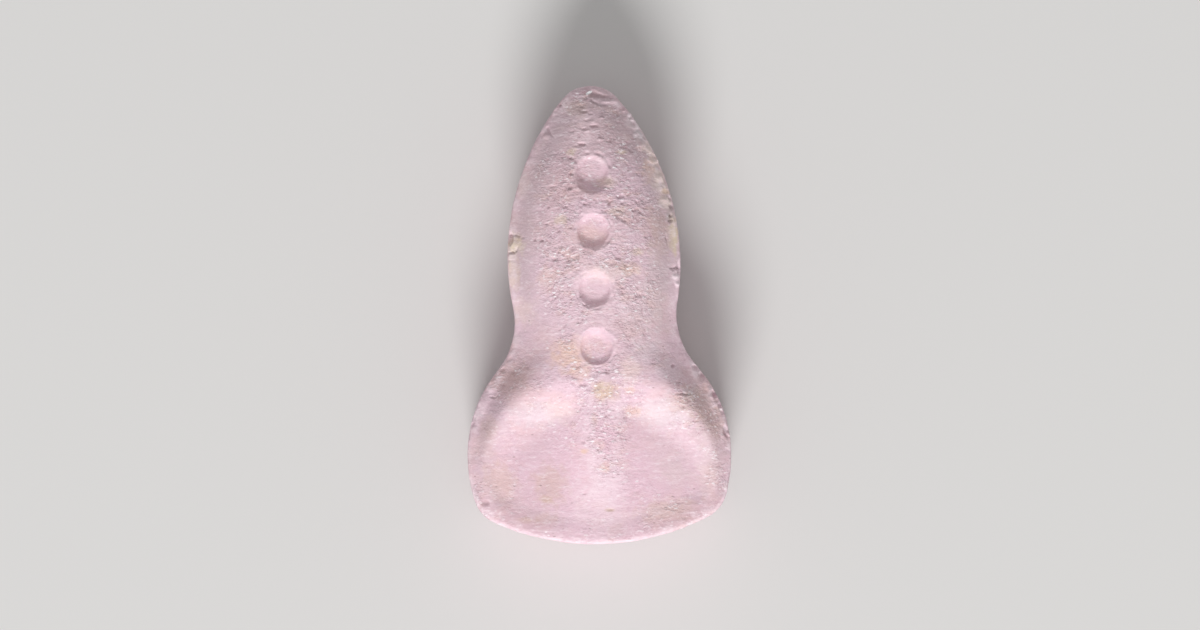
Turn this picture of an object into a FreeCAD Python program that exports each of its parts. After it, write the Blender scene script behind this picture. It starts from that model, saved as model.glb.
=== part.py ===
import FreeCAD, Part
import math
import os

os.makedirs("parts", exist_ok=True)

# The part is one small tablet of pressed powder with the outline of a rocket. It lies on its flat back
# with its nose towards +Y and its sculpted face up. All sizes are in millimetres. It is drawn with the
# end of its tail at the origin, and moved so that the middle of its back is there.

# Outline, seen from above. The left half mirrors the right.
length = 14.0
tail_half_width = 4.04
tail_widest_place = 2.76
tail_end_radius = 7.4
tail_corner_radius = 1.1
tail_lower_side_radius = 4.8
tail_shoulder_radius = 4.0
neck_radius = 2.3
body_half_width = 2.66
body_widest_place = 8.63
body_waist_radius = 6.5
nose_radius = 1.13

# Pressed band and back
band_height = 3.7
back_bevel = 0.3
land_width = 0.15

# Rim of the sculpted face: a low step up from the land that leans inwards
rim_rise = 0.9
rim_run = 0.5

# Crown, measured up from the land: along the middle of the body and at its foot all round
crown_height = 1.3
crown_edge_height = 0.05
body_side_power = 2.0
nose_fall_start = 8.0
nose_fall_power = 2.4

# Flared tail: its crown sinks towards the tail's end, and its fuller shoulders roll down to a low
# margin beside the land
tail_end_height = 0.08
tail_rise_end = 6.8
shoulder_margin = 0.22
shoulder_roll_width = 0.8
tail_roll_width = 0.45
shoulder_fullness_share = 0.78
flare_start = 6.2
flare_end = 4.6

# Dished panels of the tail, inside a bell-shaped edge and a low lip along the tail's end, with a keel
# between them
dish_place = 1.1
dish_half_width = 3.62
dish_length = 3.45
dish_edge_width = 1.3
dish_floor_height = 0.03
keel_height = 0.9
keel_half_width = 1.1
keel_end = 0.2
keel_start = 5.0
lip_foot = 0.75
lip_brow = 0.2

# Column of round dimples down the middle of the body
dimple_count = 4
first_dimple_place = 6.0
dimple_pitch = 1.78
dimple_radius = 0.56
dimple_floor_radius = 0.36
dimple_depth = 0.22

# The face is a smooth surface through points this far apart, and it runs this far past the outline.
# Nearer than the shortest reach to a round's centre, no direction is taken from it. The core is cut by
# the face to the given tolerance.
face_step = 0.3
face_overrun = 0.3
shortest_reach = 0.01
cut_tolerance = 0.0005


class Round:
    """One arc of the outline: its centre, its radius, and whether it bulges out or bends in."""

    def __init__(self, x, y, radius, bulges_out=True):
        self.x = x
        self.y = y
        self.radius = radius
        self.sign = 1 if bulges_out else -1


def touching_centre(one, one_reach, other, other_reach):
    """Outermost point that lies at the given reaches from the centres of two rounds."""
    across_x = other.x - one.x
    across_y = other.y - one.y
    distance = math.hypot(across_x, across_y)
    along = (one_reach ** 2 - other_reach ** 2 + distance ** 2) / (2 * distance)
    aside = math.sqrt(one_reach ** 2 - along ** 2)
    middle_x = one.x + along * across_x / distance
    middle_y = one.y + along * across_y / distance
    ways = [(middle_x + way * aside * across_y / distance,
             middle_y - way * aside * across_x / distance) for way in (1, -1)]
    return max(ways)


def right_side_rounds():
    """The rounds of the outline's right side, from the tail's end up to the nose."""
    tail_end = Round(0, tail_end_radius, tail_end_radius)
    lower_side = Round(tail_half_width - tail_lower_side_radius, tail_widest_place, tail_lower_side_radius)
    shoulder = Round(tail_half_width - tail_shoulder_radius, tail_widest_place, tail_shoulder_radius)
    corner_x, corner_y = touching_centre(tail_end, tail_end_radius - tail_corner_radius,
                                         lower_side, tail_lower_side_radius - tail_corner_radius)
    corner = Round(corner_x, corner_y, tail_corner_radius)
    waist = Round(body_half_width - body_waist_radius, body_widest_place, body_waist_radius)
    neck_x, neck_y = touching_centre(shoulder, tail_shoulder_radius + neck_radius,
                                     waist, body_waist_radius + neck_radius)
    neck = Round(neck_x, neck_y, neck_radius, bulges_out=False)
    nose_rise = length - nose_radius - body_widest_place
    side_reach = (body_half_width ** 2 + nose_rise ** 2 - nose_radius ** 2)
    side_radius = side_reach / (2 * (body_half_width - nose_radius))
    side = Round(body_half_width - side_radius, body_widest_place, side_radius)
    nose = Round(0, length - nose_radius, nose_radius)
    return [tail_end, corner, lower_side, shoulder, neck, waist, side, nose]


def heading_of_joint(one, other):
    """Direction from a round's centre to the point where it runs into the next one."""
    across_x = other.x - one.x
    across_y = other.y - one.y
    if one.sign == other.sign and one.radius < other.radius:
        across_x, across_y = -across_x, -across_y
    distance = math.hypot(across_x, across_y)
    return across_x / distance, across_y / distance


rounds = right_side_rounds()
headings = [heading_of_joint(one, other) for one, other in zip(rounds, rounds[1:])]


def joint_points(inset):
    """Points where the rounds of the right side meet, with the outline drawn in by an inset."""
    points = [(0, inset)]
    for part, (x, y) in zip(rounds, headings):
        radius = part.radius - part.sign * inset
        points.append((part.x + radius * x, part.y + radius * y))
    points.append((0, length - inset))
    return points


def outline_wire(inset, height):
    """The closed outline at a height, drawn in by an inset."""
    points = joint_points(inset)
    edges = []
    for side in (1, -1):
        for part, start, end in zip(rounds, points, points[1:]):
            radius = part.radius - part.sign * inset
            chord_x = (start[0] + end[0]) / 2 - part.x
            chord_y = (start[1] + end[1]) / 2 - part.y
            reach = radius / math.hypot(chord_x, chord_y)
            middle = (part.x + chord_x * reach, part.y + chord_y * reach)
            corners = [FreeCAD.Vector(side * x, y, height) for x, y in (start, middle, end)]
            edges.append(Part.Arc(*corners).toShape())
    return Part.Wire(Part.__sortEdges__(edges))


def half_width(y, inset):
    """Half of the outline's width at a place along the tablet, drawn in by an inset."""
    points = joint_points(inset)
    place = min(max(y, inset), length - inset)
    for part, end in zip(rounds, points[1:]):
        if place <= end[1]:
            break
    radius = part.radius - part.sign * inset
    return part.x + part.sign * math.sqrt(max(radius ** 2 - (place - part.y) ** 2, 0))


def ramp(value, start, end):
    """Smooth rise from 0 at the start to 1 at the end."""
    share = min(max((value - start) / (end - start), 0), 1)
    return share * share * (3 - 2 * share)


def between(low, high, share):
    """Value that lies a share of the way from the low one to the high one."""
    return low + (high - low) * share


def inside_land(x, y):
    """Distance from a place on the face to the inner edge of the land, less than 0 outside it."""
    points = joint_points(land_width)
    nearest = length
    for part, start, end in zip(rounds, points, points[1:]):
        radius = part.radius - part.sign * land_width
        across_x = abs(x) - part.x
        across_y = y - part.y
        reach = math.hypot(across_x, across_y)
        foot = part.y + across_y * radius / max(reach, shortest_reach)
        distance = part.sign * (radius - reach)
        faces_it = part.sign * across_x >= 0 and start[1] <= foot <= end[1]
        if faces_it and abs(distance) < abs(nearest):
            nearest = distance
    return nearest


def crown(x, y):
    """Height of the crowned face over the land, before the tail is dished."""
    top = between(tail_end_height, crown_height, ramp(y, 0, tail_rise_end))
    arch_half_width = max(half_width(max(y, tail_widest_place), land_width), nose_radius / 2)
    aside = abs(x) / arch_half_width
    ahead = min(max(y - nose_fall_start, 0) / (length - land_width - nose_fall_start), 1)
    inside = min(aside, 1)
    arched = (1 - ahead ** nose_fall_power) * (1 - inside ** body_side_power - min(aside - inside, 1))
    roll_width = between(tail_roll_width, shoulder_roll_width, ramp(y, dish_place, flare_end))
    margin = shoulder_margin * ramp(y, dish_place, flare_end)
    inward = min(max(inside_land(x, y) - margin, 0) / roll_width, 1)
    rolled = 1 - (1 - inward) ** 2
    fullness = shoulder_fullness_share * (1 - ramp(y, flare_end, flare_start))
    return between(crown_edge_height, top, between(arched, rolled, fullness))


def dished_tail(x, y):
    """Height of the tail's panels over the land, with the keel down the middle."""
    rise = (keel_height - dish_floor_height) * ramp(y, keel_end, keel_start)
    return dish_floor_height + rise * math.exp(-(x / keel_half_width) ** 2)


def face_height(x, y):
    """Height of the sculpted face over the land: crowned outside the dish, and dished inside it."""
    reach = math.hypot(x / dish_half_width, max(y - dish_place, 0) / dish_length)
    edge_share = dish_edge_width / 2 / dish_length
    outside = ramp(reach, 1 - edge_share, 1 + edge_share)
    lip = 1 - ramp(inside_land(x, y), lip_brow, lip_foot)
    return between(dished_tail(x, y), crown(x, y), max(outside, lip))


def face_surface():
    """Smooth surface through the face's heights."""
    columns = math.ceil((tail_half_width + face_overrun) / face_step)
    rows = math.ceil((length + 2 * face_overrun) / face_step)
    grid = []
    for column in range(-columns, columns + 1):
        x = (tail_half_width + face_overrun) * column / columns
        line = []
        for row in range(rows + 1):
            y = -face_overrun + (length + 2 * face_overrun) * row / rows
            line.append(FreeCAD.Vector(x, y, band_height + face_height(x, y)))
        grid.append(line)
    surface = Part.BSplineSurface()
    surface.interpolate(grid)
    return surface.toShape()


def pressed_band():
    """The tablet's upright band up to its land, with the bevel round its back."""
    lift = FreeCAD.Vector(0, 0, band_height)
    band = Part.Face(outline_wire(0, 0)).extrude(lift)
    back_edges = [edge for edge in band.Edges if edge.BoundBox.ZMax < back_bevel / 2]
    return band.makeChamfer(back_bevel, back_edges)


def sculpted_core():
    """The middle of the tablet inside its land: a rim that leans in, cut off on top by the sculpted face."""
    lift = FreeCAD.Vector(0, 0, crown_height)
    foot = outline_wire(land_width, band_height)
    brow = outline_wire(land_width + rim_run, band_height + rim_rise)
    rim = Part.makeLoft([foot, brow], True, True)
    core = rim.fuse(Part.Face(brow).extrude(lift))
    above = face_surface().extrude(3 * lift)
    return core.cut([above], cut_tolerance)


def dimples():
    """Tapered cutters for the column of round dimples, each set by the crown under it."""
    cutters = []
    for number in range(dimple_count):
        place = first_dimple_place + number * dimple_pitch
        floor = band_height + face_height(0, place) - dimple_depth
        slope = (dimple_radius - dimple_floor_radius) / dimple_depth
        cutter = Part.makeCone(dimple_floor_radius, dimple_floor_radius + slope * crown_height, crown_height,
                               FreeCAD.Vector(0, place, floor))
        cutters.append(cutter)
    return cutters


tablet = pressed_band().fuse(sculpted_core()).removeSplitter()
tablet = tablet.cut(dimples())
tablet = tablet.Solids[0]
tablet.translate(FreeCAD.Vector(0, -length / 2, 0))
tablet.exportStep("parts/tablet.step")
print("tablet", tablet.isValid(), round(tablet.Volume, 3), tablet.BoundBox)
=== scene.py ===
import math

import bmesh
import bpy
from mathutils import Matrix, Vector, noise
from mathutils.bvhtree import BVHTree
from mathutils.kdtree import KDTree


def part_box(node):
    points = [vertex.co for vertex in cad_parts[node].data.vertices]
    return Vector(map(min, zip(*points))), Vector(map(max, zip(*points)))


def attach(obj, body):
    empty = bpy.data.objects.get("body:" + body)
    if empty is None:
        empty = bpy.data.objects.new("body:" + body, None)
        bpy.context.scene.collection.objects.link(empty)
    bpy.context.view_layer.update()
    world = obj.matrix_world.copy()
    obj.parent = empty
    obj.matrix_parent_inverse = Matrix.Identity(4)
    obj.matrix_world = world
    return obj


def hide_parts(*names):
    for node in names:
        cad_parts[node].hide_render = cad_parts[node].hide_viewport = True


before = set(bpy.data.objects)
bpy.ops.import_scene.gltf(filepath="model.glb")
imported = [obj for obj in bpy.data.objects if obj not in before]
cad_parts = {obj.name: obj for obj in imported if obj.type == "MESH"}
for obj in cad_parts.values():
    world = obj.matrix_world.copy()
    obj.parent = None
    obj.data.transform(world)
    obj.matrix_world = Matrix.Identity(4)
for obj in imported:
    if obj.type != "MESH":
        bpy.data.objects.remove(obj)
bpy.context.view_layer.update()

# The tablet lies on its back on the floor, its nose towards +Y and its sculpted face up. Shapes are
# worked in millimetres and turned into metres at the end. A span is the start and the end of a smooth
# change, and an oval is the x and y of its middle, its half width and its half height.
MM = 0.001

# The noise is the same at each run. Rough noise has several octaves: the fade says how fast they weaken,
# and the gap how much finer each one is.
noise.seed_set(1)
OCTAVES = 3
NOISE_FADE = 0.8
NOISE_GAP = 2

low_corner, high_corner = (Vector(corner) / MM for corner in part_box("tablet"))
LENGTH = high_corner.y - low_corner.y

# Camera, set by the photograph: the object's length and place in a frame of 1200 by 630 pixels
PHOTO_WIDTH_PX = 1200
OBJECT_LENGTH_PX = 461.9
OBJECT_LEFT_OF_CENTRE_PX = 4.4
LEAN_LEFT_DEG = 1.55
LENS_MM = 100
SENSOR_MM = 36
CLIP_START_M = 0.001

# Stage: a pale floor, an even surround, and a soft lamp beyond the tail's end, a little to the left
FLOOR_SIZE_M = 2
FLOOR_COLOUR = (0.7, 0.69, 0.68)
FLOOR_ROUGHNESS = 0.9
WORLD_STRENGTH = 0.47
KEY_REACH_M = 0.6
KEY_WIDTH_M = 0.26
KEY_ELEVATION_DEG = 38
KEY_LEFT_DEG = 6
KEY_STRENGTH = 0.85

# Mesh: even cells, a third as wide on the face. It is soft beside the rim, and over the span of distances
# from the rim it passes to the solid's own surface.
CELL = 0.121
FACE_CUTS = 2
FINE_BELOW_LAND = 0.25
SMOOTHING_FACTOR = 0.5
SOFTENING_PASSES = 5
SMOOTHING_PASSES = 3
CRISP_SPAN = (0.2, 0.6)
MERGE_REACH = 0.001

# The rim is where a level face meets an upright one, told by how far their normals point up.
RIM_SPACING = 0.05
LEVEL_NORMAL = 0.99
UPRIGHT_NORMAL = 0.01

# Unevenness of the whole surface: wavelengths and depths
WAVE_LENGTH = 2.4
WAVE_DEPTH = 0.018
LUMP_LENGTH = 0.55
LUMP_DEPTH = 0.014

# Picked grain: crumbs and lost flakes, wider than they are tall, and coarser in patches. Its cells are
# bent, and each has a number of its own.
PATCH_LENGTH = 0.7
PATCH_DEPTH = 0.03
PATCH_FADE = 0.7
PATCH_SPAN = (-0.35, 0.5)
PATCH_BASE_SHARE = 0.35
PATCH_RISE_SHARE = 0.85
CRUMB_WIDTH = 0.15
CRUMB_HEIGHT = 0.1
CRUMB_DEPTH = 0.014
CRUMB_EDGE_SPAN = (0, 0.4)
CRUMB_EDGE_SHARE = 0.5
FLAKE_WIDTH = 0.24
FLAKE_HEIGHT = 0.1
FLAKE_DEPTH = 0.038
FLAKE_EDGE_SPAN = (0.02, 0.3)
LOST_FLAKE_SPAN = (0.76, 0.9)
CELL_BEND = 0.07
BENDS_PER_MM = 7
CELL_NUMBER_STEP = 3.7

# Grain down the middle: its half width at the keel's end, at the keel's top and on the body, the spans
# along the tablet over which it changes, and the shares of the half width over which it fades sideways
GRAIN_MIDDLE_X = 0.15
KEEL_END_HALF_WIDTH = 0.4
KEEL_TOP_HALF_WIDTH = 1.4
BODY_HALF_WIDTH = 1.75
KEEL_WIDENING_SPAN = (-4.8, -1.9)
BODY_WIDENING_SPAN = (-1.2, 1.2)
NOSE_NARROWING_SPAN = (4.3, 6)
NOSE_NARROWING_SHARE = 0.45
SIDEWAYS_FADE_SHARES = (0.6, 1.3)
KEEL_START_SPAN = (-5.3, -4.2)

# Calmer places of the middle: half way along, at the nose, on the right of the body, and down the tail,
# where crumbs and lost flakes are shallower too
WAIST_CALM_SHARE = 0.35
NOSE_CALM_SPAN = (4.6, 5.6)
NOSE_CALM_SHARE = 0.5
BODY_CALM_OVAL = (1.5, 4.0, 0.7, 1.1)
BODY_CALM_SHARE = 0.5
TAIL_SPAN = (-3.4, -1.6)
TAIL_MIDDLE_SHARE = 0.75
TAIL_CRUMB_SHARE = 0.6
TAIL_FLAKE_SHARE = 0.35

# Grain elsewhere: on one shoulder, on the left of the body, and a little of it on the tail outside the
# smooth panels, the tail's end and the left side
SHOULDER_OVAL = (2.7, -2.9, 0.5, 0.8)
SHOULDER_SHARE = 0.8
LEFT_OVAL = (-1.35, 2.4, 0.5, 0.8)
LEFT_SHARE = 0.6
PLAIN_GRAIN_SHARE = 0.06
TAIL_GRAIN_SHARE = 0.42
TAIL_GRAIN_SPAN = (-1.6, -0.8)
PANEL_OVAL = (1.8, -4.4, 1.2, 1.2)
TAIL_END_OVAL = (0, -5.7, 1.6, 0.9)
TAIL_END_SMOOTH_SHARE = 0.9
LEFT_TAIL_OVAL = (-3.5, -3, 0.6, 1.5)
LEFT_TAIL_SMOOTH_SHARE = 0.6

# Dimples: less grain inside them, and wear on their edges
DIMPLE_PLACES = (-1.0, 0.78, 2.56, 4.34)
DIMPLE_RADIUS = 0.56
DIMPLE_GRAIN_SHARE = 0.3
DIMPLE_WEAR = 0.045
DIMPLE_WEAR_REACH = 0.1
DIMPLE_WEAR_PER_MM = 4
DIMPLE_WEAR_SPAN = (-0.3, 0.6)

# Streaks that run across the face, and the raggedness of its pits, grooves and lumps
STREAK_WIDTH = 1.1
STREAK_HEIGHT = 0.09
STREAK_DEPTH = 0.0025
RAGGED_REACH = 0.03
RAGGED_PER_MM = 9
RAGGED_Y_SHIFT = Vector((7, 3, 1))
FULL_HOLLOW_DEPTH = 0.05
GROOVE_THINNING_SHARE = 0.7

# Normals between which a surface counts as facing up, and below which it counts as the band
UPWARD_SPAN = (0.1, 0.5)
BAND_NORMAL = 0.7

# Rim: worn all along, and chipped where the table says. A row is a place, a reach and a share.
RIM_WEAR = 0.02
RIM_LUMP_LENGTH = 0.26
RIM_LUMP_DEPTH = 0.1
RIM_LUMP_REACH = 0.55
RIM_LUMP_SPAN = (-0.3, 0.7)
MARGIN_WIDTH = 0.5
MARGIN_START_SHARE = 0.2
MARGIN_PER_MM = 2.5
MARGIN_SPAN = (-0.3, 0.5)
CHIP_LENGTH = 0.55
CHIP_REACH = 0.4
CHIP_GAP = 2.2
CHIP_SPAN = (-0.05, 0.75)
CHIP_UNEVEN_PER_MM = 6
CHIP_BASE_SHARE = 0.85
CHIP_UNEVEN_SHARE = 0.4
BREAK_PALE_SPAN = (0.06, 0.14)
PLAIN_CHIP_SHARE = 0.2
CHIPPED_SHARES = (
    (1.7, 4.8, 1.3, 0.75), (1.2, 6.0, 0.5, 0.7), (-1.2, 5.5, 0.6, 0.4), (-2.5, 2.2, 0.4, 0.5),
    (2.45, 1.2, 0.4, 0.4), (-2.9, -1.9, 0.9, 0.6), (3.2, -2.3, 1.1, 0.7), (3.9, -3.8, 0.4, 0.4),
    (-3.9, -3.2, 0.6, 0.2), (-3.6, -5.6, 0.4, 0.3))

# Band: upright drag marks of the die, and wear round the back
DRAG_WIDTH = 0.2
DRAG_HEIGHT = 3
DRAG_DEPTH = 0.014
BAND_GRAIN_SHARE = 0.12
BACK_WEAR_LENGTH = 0.5
BACK_WEAR_DEPTH = 0.09
BACK_WEAR_HEIGHT = 0.6
BACK_WEAR_SPAN = (0, 0.8)
BACK_NORMAL_SPAN = (-0.99, -0.8)

# Pits of the face: x, y, half width, half height, depth
PITS = (
    (0.11, 5.71, 0.16, 0.06, 0.07), (-0.27, 5.16, 0.14, 0.055, 0.08), (-0.18, 6.17, 0.13, 0.045, 0.05),
    (0.0, 6.08, 0.1, 0.035, 0.03), (-0.07, 5.89, 0.14, 0.035, 0.03), (-0.2, 5.62, 0.1, 0.04, 0.05),
    (-0.91, 6.4, 0.05, 0.045, 0.05), (2.31, -1.59, 0.08, 0.065, 0.09), (2.6, -2.43, 0.36, 0.03, 0.05),
    (2.45, -2.55, 0.2, 0.025, 0.04), (2.55, -2.87, 0.08, 0.05, 0.06), (-0.45, -2.09, 0.13, 0.055, 0.07),
    (-0.49, -3.82, 0.06, 0.045, 0.05), (-0.06, -4.02, 0.06, 0.04, 0.05), (-2.66, -5.47, 0.04, 0.035, 0.05),
    (0.86, -6.82, 0.05, 0.035, 0.05), (-3.5, -5.6, 0.16, 0.1, 0.06), (2.52, -6.21, 0.13, 0.035, 0.03),
    (0.28, -5.92, 0.14, 0.035, 0.04), (-0.5, -5.4, 0.1, 0.03, 0.03), (1.07, -5.4, 0.11, 0.03, 0.03),
    (-0.5, -6.42, 0.09, 0.03, 0.03), (-1.2, -6.7, 0.08, 0.03, 0.03), (2.36, 2.8, 0.09, 0.07, 0.07),
    (2.36, 3.48, 0.08, 0.06, 0.06), (-0.55, 4.05, 0.07, 0.05, 0.04), (2.38, 1.36, 0.1, 0.05, 0.06),
    (-3.2, -2.4, 0.12, 0.035, 0.04), (-2.1, -2.95, 0.09, 0.03, 0.03), (1.28, 5.96, 0.12, 0.04, 0.06),
    (2.41, 3.24, 0.09, 0.1, 0.08), (2.37, 2.95, 0.07, 0.09, 0.07), (2.5, 1.36, 0.12, 0.05, 0.08),
    (-1.2, 3.9, 0.14, 0.03, 0.04), (-1.42, 2.78, 0.07, 0.04, 0.05), (-1.78, 2.3, 0.08, 0.03, 0.05),
    (-1.58, 2.28, 0.09, 0.035, 0.05), (-1.3, 2.42, 0.05, 0.03, 0.04), (-1.05, 2.55, 0.06, 0.03, 0.05),
    (-1.2, 1.7, 0.1, 0.045, 0.06), (-1.35, 3.3, 0.08, 0.025, 0.04))

# Grooves and cracks: half width, depth, then the points they run through
GROOVES = (
    (0.13, 0.1, ((0.1, 6.71), (0.31, 6.66), (0.5, 6.62), (0.68, 6.54))),
    (0.06, 0.05, ((0.04, 6.52), (0.25, 6.4), (0.55, 6.33))),
    (0.035, 0.04, ((-0.06, -4.02), (0.05, -4.26))),
    (0.045, 0.09, ((-2.66, 2.44), (-2.5, 2.48), (-2.35, 2.47), (-2.12, 2.39))),
    (0.04, 0.08, ((-2.66, 1.93), (-2.43, 1.97), (-2.31, 2.05), (-2.26, 2.16))),
    (0.03, 0.04, ((-2.66, 1.72), (-2.38, 1.7))),
    (0.04, 0.035, ((-1.3, 5.72), (-1.22, 5.5), (-1.06, 5.36))),
    (0.03, 0.04, ((2.2, 2.35), (2.25, 2.0))))

# Raised lumps near the rim: x, y, half width, half height, rise
LUMPS = (
    (-1.36, 5.46, 0.15, 0.12, 0.035), (1.24, 6.06, 0.16, 0.1, 0.045), (1.38, 5.46, 0.1, 0.08, 0.03),
    (1.55, 5.1, 0.16, 0.2, 0.045), (1.8, 4.9, 0.1, 0.1, 0.02), (1.9, 4.62, 0.2, 0.12, 0.05),
    (2.06, 4.1, 0.22, 0.16, 0.045), (2.12, 3.78, 0.12, 0.08, 0.03), (2.22, 3.45, 0.18, 0.14, 0.045),
    (0.75, 6.46, 0.16, 0.08, 0.04), (0.55, 6.46, 0.25, 0.06, 0.05), (2.47, 1.1, 0.12, 0.08, 0.05),
    (2.52, 0.86, 0.1, 0.08, 0.05), (3.76, -3.76, 0.07, 0.07, 0.05), (-2.42, 2.2, 0.2, 0.18, 0.03),
    (-0.1, 5.56, 0.14, 0.05, 0.04), (0.3, 5.3, 0.14, 0.05, 0.04), (0.05, 5.86, 0.14, 0.04, 0.03),
    (-0.45, 5.05, 0.14, 0.05, 0.04), (0.35, 5.95, 0.14, 0.04, 0.03))

# Colours of the powder and of its stains, and of the painted shade and painted light laid on it
PINK = (0.79, 0.568, 0.647)
WARM_PINK = (0.765, 0.538, 0.578)
COOL_PINK = (0.715, 0.523, 0.597)
DUSTY_PINK = (0.625, 0.468, 0.508)
BRIGHT_PINK = (0.825, 0.545, 0.64)
PALE = (0.93, 0.78, 0.835)
# Painted light on the high grains
CRUMB_PAINTED_LIGHT = (1, 0.88, 0.93)
# Pale grains with painted sparkle
FLECK_PALE_AND_SPARKLE = (1, 0.93, 0.96)
BLUSH = (0.95, 0.72, 0.78)
PUTTY = (0.74, 0.6, 0.6)
IVORY = (0.84, 0.69, 0.645)
FROST = (0.76, 0.685, 0.715)
# Painted shade on the low grains
ROSE_GRAIN_SHADE = (0.6, 0.37, 0.42)
# Painted shade in sunken places and fine cracks
CREVICE_SHADE = (0.4, 0.28, 0.29)
OLIVE = (0.64, 0.46, 0.33)
ORANGE = (0.85, 0.58, 0.48)
CREAM = (0.8, 0.66, 0.47)
PEACH = (0.87, 0.67, 0.62)
BROWN = (0.62, 0.42, 0.38)
BEIGE = (0.69, 0.49, 0.45)
SAND = (0.77, 0.55, 0.52)
GREY = (0.45, 0.38, 0.36)
# Painted shade on the lip of the tail's end
LIP_SHADE_COLOUR = (0.56, 0.375, 0.42)
# Painted shade in the trough beside the rim
TROUGH_SHADE = (0.49, 0.385, 0.415)
# Painted highlight of the glint at the nose
PAINTED_GLINT_WHITE = (1, 0.98, 1)
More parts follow.
